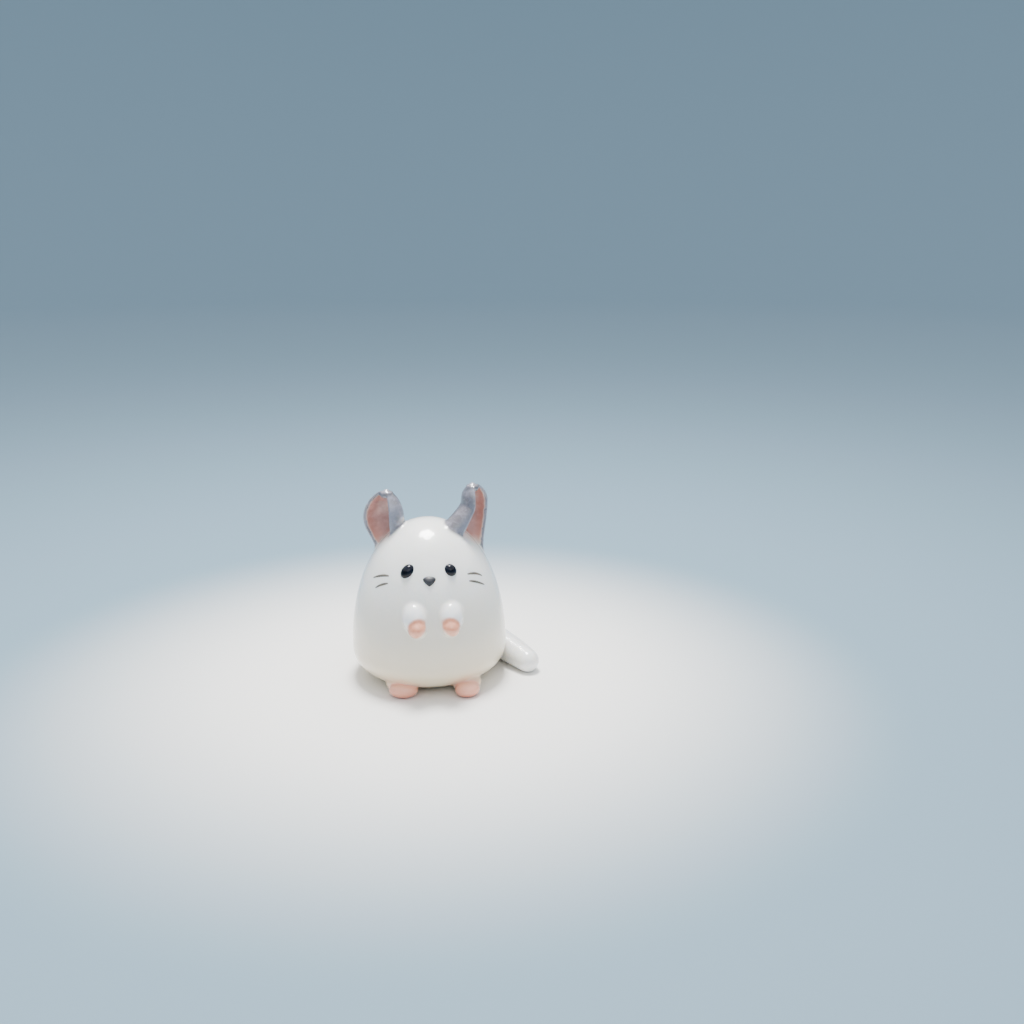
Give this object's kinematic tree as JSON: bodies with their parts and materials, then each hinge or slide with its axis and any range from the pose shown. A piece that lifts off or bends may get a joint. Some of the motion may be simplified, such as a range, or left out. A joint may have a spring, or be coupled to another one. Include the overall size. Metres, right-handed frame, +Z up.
{
  "type": "chinchilla figurine",
  "caption": "Miniature egg-shaped chinchilla figurine of white glazed clay, sitting upright, with cupped grey ears, short arms, pink paws and feet, and a thick tail curled round its left side.",
  "frame": {"origin": "on the surface it stands on, on the upright axis of the egg-shaped body", "axes": "+Z up, -Y the way the animal faces, +X towards the animal's own left"},
  "size_m": [0.0179, 0.0172, 0.0188],
  "materials": {
    "white_clay": "white polymer clay under a thick clear glaze",
    "grey_clay": "pearl lavender-grey polymer clay under a thick clear glaze",
    "pink_clay": "bare pink polymer clay under a thin clear glaze",
    "black_bead": "black, domed, high gloss",
    "dark_clay": "dark grey, satin"
  },
  "bodies": {
    "root": {"torso": "white_clay", "head": "white_clay", "arm_right": "white_clay", "arm_left": "white_clay", "leg_right": "white_clay", "leg_left": "white_clay", "ear_right": "grey_clay", "ear_left": "grey_clay", "tail_root": "grey_clay", "tail_middle": "grey_clay", "tail_end": "grey_clay", "paw_right": "pink_clay", "paw_left": "pink_clay", "foot_right": "pink_clay", "foot_left": "pink_clay", "eye_right": "black_bead", "eye_left": "black_bead", "nose": "dark_clay"}
  },
  "joints": []
}
